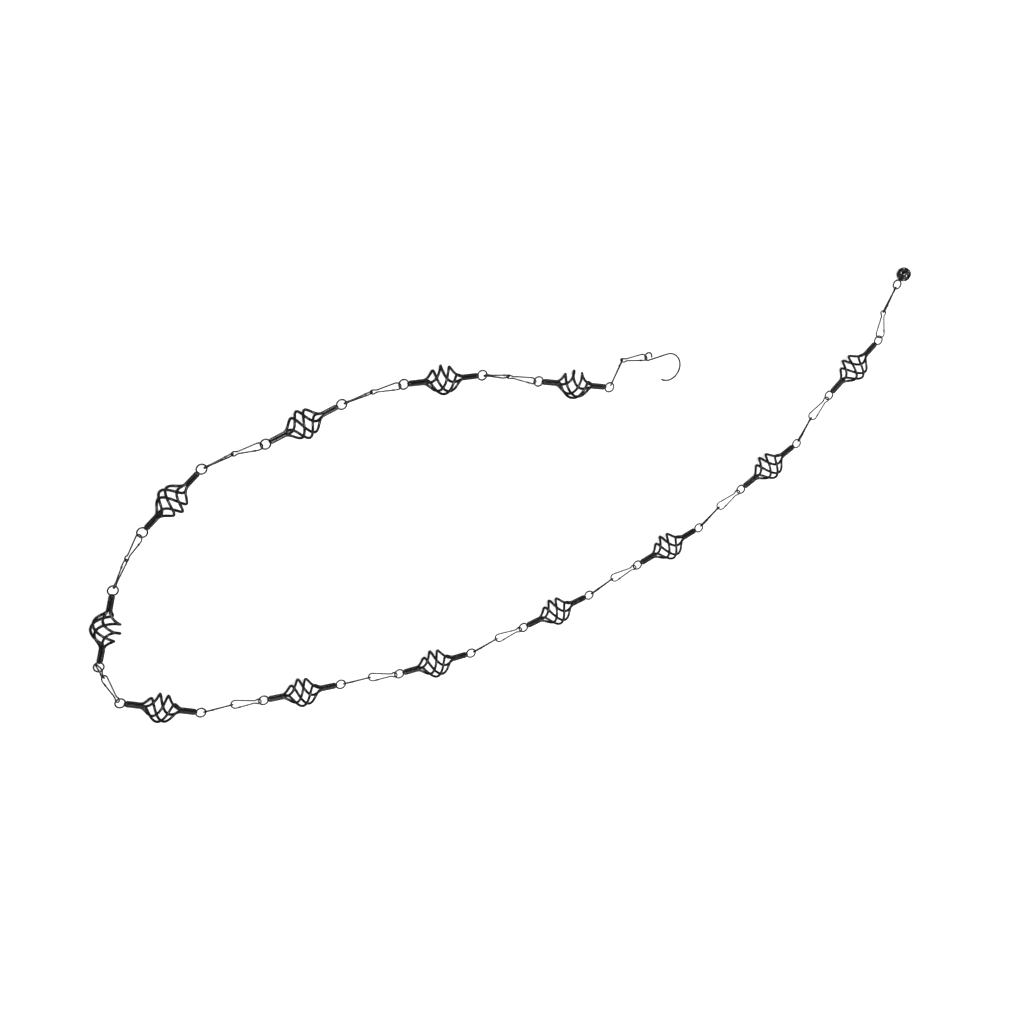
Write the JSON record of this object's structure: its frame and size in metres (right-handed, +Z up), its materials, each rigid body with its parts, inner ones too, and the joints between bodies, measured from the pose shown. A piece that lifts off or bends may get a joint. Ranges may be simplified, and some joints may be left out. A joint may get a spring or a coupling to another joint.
{
  "type": "rain chain",
  "caption": "Hanging rain chain of twisted open wire baskets joined by pairs of pear links, with a gutter hook at the top and a pierced ball at the foot.",
  "frame": {"origin": "on the floor, under the middle of the laid-out chain's bounding box", "axes": "+X along the laid-out chain's longest extent, +Z up from the floor it lies on"},
  "size_m": [1.1532, 0.5828, 0.0399],
  "materials": {
    "basket": "satin black paint over a lightly hammered surface, rubbed grey on the high places",
    "link": "satin black paint, rubbed grey on the high places",
    "hook": "satin black paint, rubbed grey on the high places",
    "ball": "satin black paint, rubbed grey round the holes"
  },
  "bodies": {
    "hook": {"hook": "hook"},
    "link_01": {"link_01": "link"},
    "link_02": {"link_02": "link"},
    "basket_01": {"basket_01": "basket"},
    "link_03": {"link_03": "link"},
    "link_04": {"link_04": "link"},
    "basket_02": {"basket_02": "basket"},
    "link_05": {"link_05": "link"},
    "link_06": {"link_06": "link"},
    "basket_03": {"basket_03": "basket"},
    "link_07": {"link_07": "link"},
    "link_08": {"link_08": "link"},
    "basket_04": {"basket_04": "basket"},
    "link_09": {"link_09": "link"},
    "link_10": {"link_10": "link"},
    "basket_05": {"basket_05": "basket"},
    "link_11": {"link_11": "link"},
    "link_12": {"link_12": "link"},
    "basket_06": {"basket_06": "basket"},
    "link_13": {"link_13": "link"},
    "link_14": {"link_14": "link"},
    "basket_07": {"basket_07": "basket"},
    "link_15": {"link_15": "link"},
    "link_16": {"link_16": "link"},
    "basket_08": {"basket_08": "basket"},
    "link_17": {"link_17": "link"},
    "link_18": {"link_18": "link"},
    "basket_09": {"basket_09": "basket"},
    "link_19": {"link_19": "link"},
    "link_20": {"link_20": "link"},
    "basket_10": {"basket_10": "basket"},
    "link_21": {"link_21": "link"},
    "link_22": {"link_22": "link"},
    "basket_11": {"basket_11": "basket"},
    "link_23": {"link_23": "link"},
    "link_24": {"link_24": "link"},
    "basket_12": {"basket_12": "basket"},
    "link_25": {"link_25": "link"},
    "link_26": {"link_26": "link"},
    "ball": {"ball": "ball"}
  },
  "joints": [
    {"name": "link_01_on_hook", "type": "hinge", "parent": "hook", "child": "link_01", "pos_m": [0.16402, 0.17239, 0.006], "axis": [0.0871, -0.9961, 0.0126], "range_deg": [-40, 40]},
    {"name": "link_02_on_link_01", "type": "hinge", "parent": "link_01", "child": "link_02", "pos_m": [0.12785, 0.16838, 0.00854], "axis": [0.5668, -0.3823, 0.7297], "range_deg": [-40, 40]},
    {"name": "basket_01_on_link_02", "type": "hinge", "parent": "link_02", "child": "basket_01", "pos_m": [0.1108, 0.14211, 0.0203], "axis": [-0.829, 0.5592, 0], "range_deg": [-30, 10]},
    {"name": "link_03_on_basket_01", "type": "hinge", "parent": "basket_01", "child": "link_03", "pos_m": [-0.00432, 0.15062, 0.0203], "axis": [-0.1392, -0.9903, 0], "range_deg": [-40, 40]},
    {"name": "link_04_on_link_03", "type": "hinge", "parent": "link_03", "child": "link_04", "pos_m": [-0.03985, 0.15528, 0.01175], "axis": [0.0851, 0.4829, -0.8715], "range_deg": [-35, 40]},
    {"name": "basket_02_on_link_04", "type": "hinge", "parent": "link_04", "child": "basket_02", "pos_m": [-0.07179, 0.16051, 0.02023], "axis": [0.1736, 0.9848, 0], "range_deg": [-30, 20]},
    {"name": "link_05_on_basket_02", "type": "hinge", "parent": "basket_02", "child": "link_05", "pos_m": [-0.19005, 0.15268, 0.02023], "axis": [0.2419, -0.9703, 0], "range_deg": [-40, 40]},
    {"name": "link_06_on_link_05", "type": "hinge", "parent": "link_05", "child": "link_06", "pos_m": [-0.22553, 0.1436, 0.01597], "axis": [0.145, -0.4744, 0.8683], "range_deg": [-40, 40]},
    {"name": "basket_03_on_link_06", "type": "hinge", "parent": "link_06", "child": "basket_03", "pos_m": [-0.25764, 0.13358, 0.02014], "axis": [-0.2924, 0.9563, 0], "range_deg": [-30, 30]},
    {"name": "link_07_on_basket_03", "type": "hinge", "parent": "basket_03", "child": "link_07", "pos_m": [-0.36515, 0.08337, 0.02014], "axis": [0.2924, -0.9563, 0], "range_deg": [-40, 40]},
    {"name": "link_08_on_link_07", "type": "hinge", "parent": "link_07", "child": "link_08", "pos_m": [-0.40012, 0.07244, 0.016], "axis": [-0.1778, 0.4632, -0.8682], "range_deg": [-40, 40]},
    {"name": "basket_04_on_link_08", "type": "hinge", "parent": "link_08", "child": "basket_04", "pos_m": [-0.43145, 0.06021, 0.02014], "axis": [-0.3584, 0.9336, 0], "range_deg": [-30, 30]},
    {"name": "link_09_on_basket_04", "type": "hinge", "parent": "basket_04", "child": "link_09", "pos_m": [-0.51272, -0.02526, 0.02014], "axis": [0.8829, -0.4695, 0], "range_deg": [-40, 40]},
    {"name": "link_10_on_link_09", "type": "hinge", "parent": "link_09", "child": "link_10", "pos_m": [-0.52973, -0.05771, 0.01597], "axis": [0.4498, -0.2097, 0.8682], "range_deg": [-40, 40]},
    {"name": "basket_05_on_link_10", "type": "hinge", "parent": "link_10", "child": "basket_05", "pos_m": [-0.54377, -0.08828, 0.02014], "axis": [-0.9063, 0.4226, 0], "range_deg": [-30, 30]},
    {"name": "link_11_on_basket_05", "type": "hinge", "parent": "basket_05", "child": "link_11", "pos_m": [-0.56505, -0.20431, 0.02014], "axis": [0.9659, 0.2588, 0], "range_deg": [0, 40]},
    {"name": "link_12_on_link_11", "type": "hinge", "parent": "link_11", "child": "link_12", "pos_m": [-0.55973, -0.22026, 0.00985], "axis": [-0.3599, -0.1834, -0.9148], "range_deg": [-10, 40]},
    {"name": "basket_06_on_link_12", "type": "hinge", "parent": "link_12", "child": "basket_06", "pos_m": [-0.54502, -0.24804, 0.02016], "axis": [-0.891, -0.454, 0], "range_deg": [-30, 15]},
    {"name": "link_13_on_basket_06", "type": "hinge", "parent": "basket_06", "child": "link_13", "pos_m": [-0.43384, -0.28251, 0.02016], "axis": [-0.0698, 0.9976, 0], "range_deg": [-40, 40]},
    {"name": "link_14_on_link_13", "type": "hinge", "parent": "link_13", "child": "link_14", "pos_m": [-0.39731, -0.27978, 0.0159], "axis": [-0.0347, 0.4959, 0.8677], "range_deg": [-40, 40]},
    {"name": "basket_07_on_link_14", "type": "hinge", "parent": "link_14", "child": "basket_07", "pos_m": [-0.36378, -0.27724, 0.02014], "axis": [0.0698, -0.9976, 0], "range_deg": [-30, 30]},
    {"name": "link_15_on_basket_07", "type": "hinge", "parent": "basket_07", "child": "link_15", "pos_m": [-0.24541, -0.26722, 0.02014], "axis": [-0.0523, 0.9986, 0], "range_deg": [-40, 40]},
    {"name": "link_16_on_link_15", "type": "hinge", "parent": "link_15", "child": "link_16", "pos_m": [-0.20883, -0.26513, 0.0159], "axis": [0.026, -0.4965, -0.8677], "range_deg": [-40, 40]},
    {"name": "basket_08_on_link_16", "type": "hinge", "parent": "link_16", "child": "basket_08", "pos_m": [-0.17526, -0.26317, 0.02014], "axis": [0.0523, -0.9986, 0], "range_deg": [-30, 30]},
    {"name": "link_17_on_basket_08", "type": "hinge", "parent": "basket_08", "child": "link_17", "pos_m": [-0.0585, -0.24214, 0.02014], "axis": [-0.3584, 0.9336, 0], "range_deg": [-40, 40]},
    {"name": "link_18_on_link_17", "type": "hinge", "parent": "link_17", "child": "link_18", "pos_m": [-0.02437, -0.22883, 0.01592], "axis": [-0.1861, 0.4606, 0.8679], "range_deg": [-40, 40]},
    {"name": "basket_09_on_link_18", "type": "hinge", "parent": "link_18", "child": "basket_09", "pos_m": [0.00674, -0.21605, 0.02014], "axis": [0.3746, -0.9272, 0], "range_deg": [-30, 30]},
    {"name": "link_19_on_basket_09", "type": "hinge", "parent": "basket_09", "child": "link_19", "pos_m": [0.11661, -0.17094, 0.02014], "axis": [-0.4695, 0.8829, 0], "range_deg": [-40, 40]},
    {"name": "link_20_on_link_19", "type": "hinge", "parent": "link_19", "child": "link_20", "pos_m": [0.14886, -0.15357, 0.01592], "axis": [0.2408, -0.4345, -0.8679], "range_deg": [-40, 40]},
    {"name": "basket_10_on_link_20", "type": "hinge", "parent": "link_20", "child": "basket_10", "pos_m": [0.17818, -0.1371, 0.02014], "axis": [0.4848, -0.8746, 0], "range_deg": [-30, 30]},
    {"name": "link_21_on_basket_10", "type": "hinge", "parent": "basket_10", "child": "link_21", "pos_m": [0.2822, -0.08003, 0.02014], "axis": [-0.6561, 0.7547, 0], "range_deg": [-40, 40]},
    {"name": "link_22_on_link_21", "type": "hinge", "parent": "link_21", "child": "link_22", "pos_m": [0.30973, -0.05585, 0.01592], "axis": [-0.3324, 0.3691, 0.8679], "range_deg": [-40, 40]},
    {"name": "basket_11_on_link_22", "type": "hinge", "parent": "link_22", "child": "basket_11", "pos_m": [0.33459, -0.03321, 0.02014], "axis": [0.6691, -0.7431, 0], "range_deg": [-30, 30]},
    {"name": "link_23_on_basket_11", "type": "hinge", "parent": "basket_11", "child": "link_23", "pos_m": [0.42607, 0.04188, 0.02014], "axis": [-0.866, 0.5, 0], "range_deg": [-40, 40]},
    {"name": "link_24_on_link_23", "type": "hinge", "parent": "link_23", "child": "link_24", "pos_m": [0.44427, 0.07368, 0.01585], "axis": [0.4226, -0.2641, -0.867], "range_deg": [-40, 40]},
    {"name": "basket_12_on_link_24", "type": "hinge", "parent": "link_24", "child": "basket_12", "pos_m": [0.46191, 0.10229, 0.02014], "axis": [0.848, -0.5299, 0], "range_deg": [-30, 30]},
    {"name": "link_25_on_basket_12", "type": "hinge", "parent": "basket_12", "child": "link_25", "pos_m": [0.53618, 0.19398, 0.02014], "axis": [-0.9781, 0.2079, 0], "range_deg": [-40, 40]},
    {"name": "link_26_on_link_25", "type": "hinge", "parent": "link_25", "child": "link_26", "pos_m": [0.54414, 0.22832, 0.00986], "axis": [0.5531, -0.2013, 0.8084], "range_deg": [-40, 40]},
    {"name": "ball_on_link_26", "type": "hinge", "parent": "link_26", "child": "ball", "pos_m": [0.55597, 0.26078, 0.01], "axis": [0.9397, -0.342, 0], "range_deg": [-30, 30]}
  ]
}
